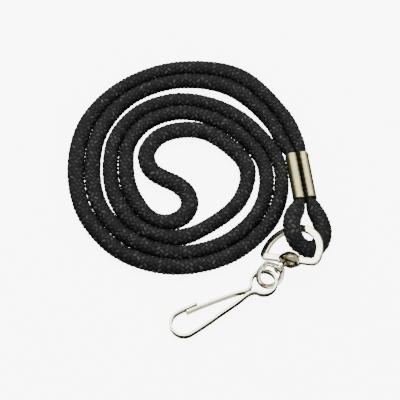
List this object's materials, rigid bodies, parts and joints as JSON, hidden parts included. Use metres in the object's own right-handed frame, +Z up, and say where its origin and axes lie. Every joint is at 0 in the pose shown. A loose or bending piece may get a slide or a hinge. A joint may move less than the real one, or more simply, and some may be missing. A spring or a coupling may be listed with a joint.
{
  "type": "lanyard",
  "caption": "Braided cord neck lanyard with a crimp, a D-ring, a ball swivel and a springy J-hook.",
  "frame": {"origin": "under the middle of the whole lanyard, on the surface it lies on", "axes": "+Z up from the surface it lies on; +X from the coil towards the crimp; +Y away from the hook"},
  "size_m": [0.0932, 0.1115, 0.0117],
  "materials": {
    "cord": "matte",
    "crimp": "satin",
    "nickel": "polished",
    "swivel": "polished"
  },
  "bodies": {
    "lanyard": {"neck_cord": "cord", "crimped_cord_inner": "cord", "loop_cord": "cord", "crimped_cord_outer": "cord", "crimp": "crimp"},
    "d_ring": {"d_ring": "nickel"},
    "ball_pin": {"ball_pin": "swivel"},
    "swivel_ring": {"swivel_ring": "swivel"},
    "hook": {"hook": "nickel"},
    "gate": {"hook_gate": "nickel"}
  },
  "joints": [
    {"name": "d_ring_swing", "type": "hinge", "parent": "lanyard", "child": "d_ring", "pos_m": [0.03441, -0.01701, 0.00506], "axis": [-0.9495, 0.1661, -0.2661], "range_deg": [0, 110]},
    {"name": "ball_tilt", "type": "hinge", "parent": "d_ring", "child": "ball_pin", "pos_m": [0.0316, -0.029, 0.0061], "axis": [-0.3198, 0.126, 0.9391], "range_deg": [0, 65]},
    {"name": "ring_swivel", "type": "hinge", "parent": "ball_pin", "child": "swivel_ring", "pos_m": [0.0316, -0.029, 0.0061], "axis": [-0.8203, -0.5327, -0.2079], "continuous": true},
    {"name": "hook_swing", "type": "hinge", "parent": "swivel_ring", "child": "hook", "pos_m": [0.02443, -0.03288, 0.00389], "axis": [-0.8499, 0.5269, 0.009], "range_deg": [-20, 85]},
    {"name": "gate_flex", "type": "hinge", "parent": "hook", "child": "gate", "pos_m": [0.01719, -0.03878, 0.0031], "axis": [-0.051, -0.0267, 0.9983], "range_deg": [0, 15], "stiffness_Nm_per_rad": 0.03}
  ]
}
